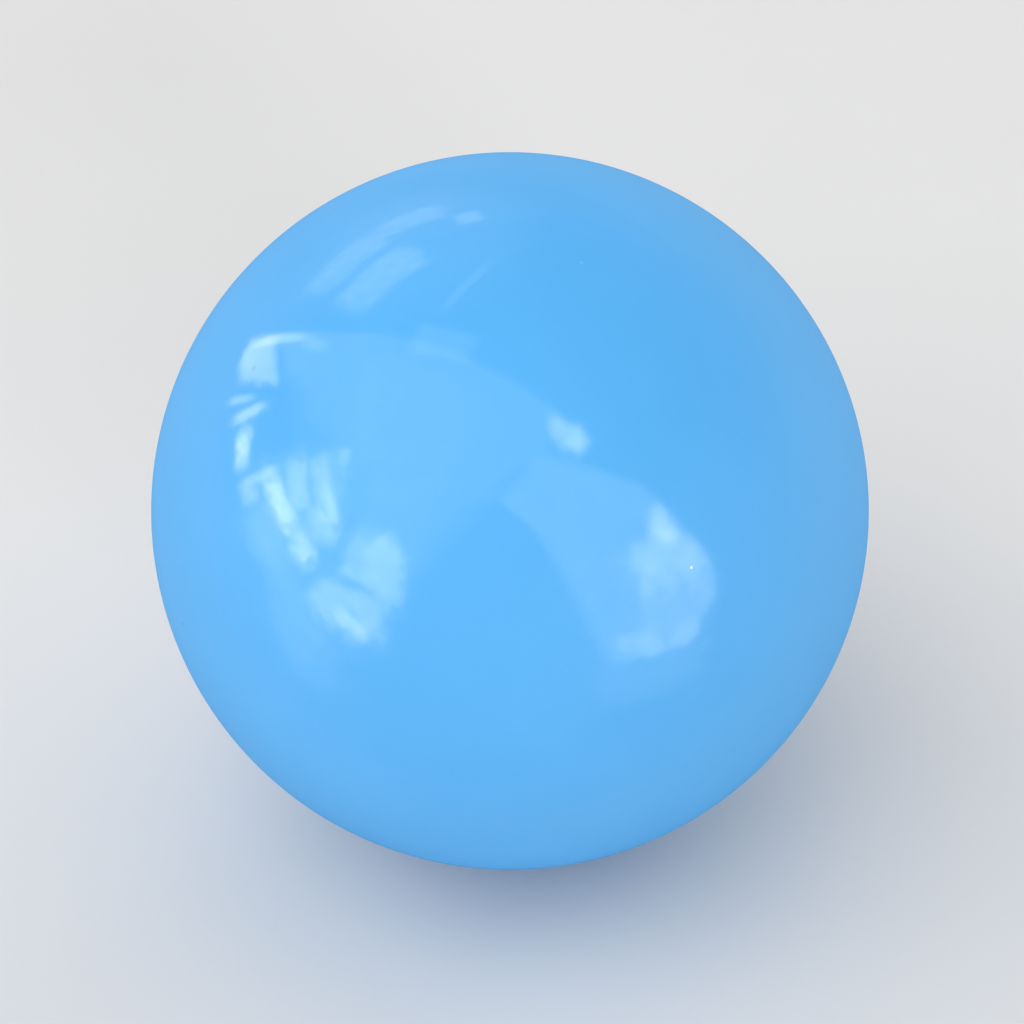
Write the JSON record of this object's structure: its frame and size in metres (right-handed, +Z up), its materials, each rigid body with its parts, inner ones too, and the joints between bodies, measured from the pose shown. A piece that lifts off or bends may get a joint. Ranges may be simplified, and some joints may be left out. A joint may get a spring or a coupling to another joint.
{
  "type": "rhythmic gymnastics ball",
  "caption": "Hollow glossy sky-blue vinyl ball for rhythmic gymnastics, with a recessed push-in plug valve that pulls out to pump the ball up.",
  "frame": {"origin": "centre of the ball", "axes": "+Y along the valve's axis, out through the plug; +Z up; the side that the picture shows faces -Y"},
  "size_m": [0.185, 0.1845, 0.185],
  "materials": {
    "blue_vinyl": "gloss",
    "seat_vinyl": "satin",
    "plug_vinyl": "satin"
  },
  "bodies": {
    "ball": {"ball_shell": "blue_vinyl", "valve_seat": "seat_vinyl"},
    "plug": {"valve_plug": "plug_vinyl"}
  },
  "joints": [
    {"name": "plug_pull", "type": "slide", "parent": "ball", "child": "plug", "axis": [0, 1, 0], "range_m": [0, 0.025]}
  ]
}
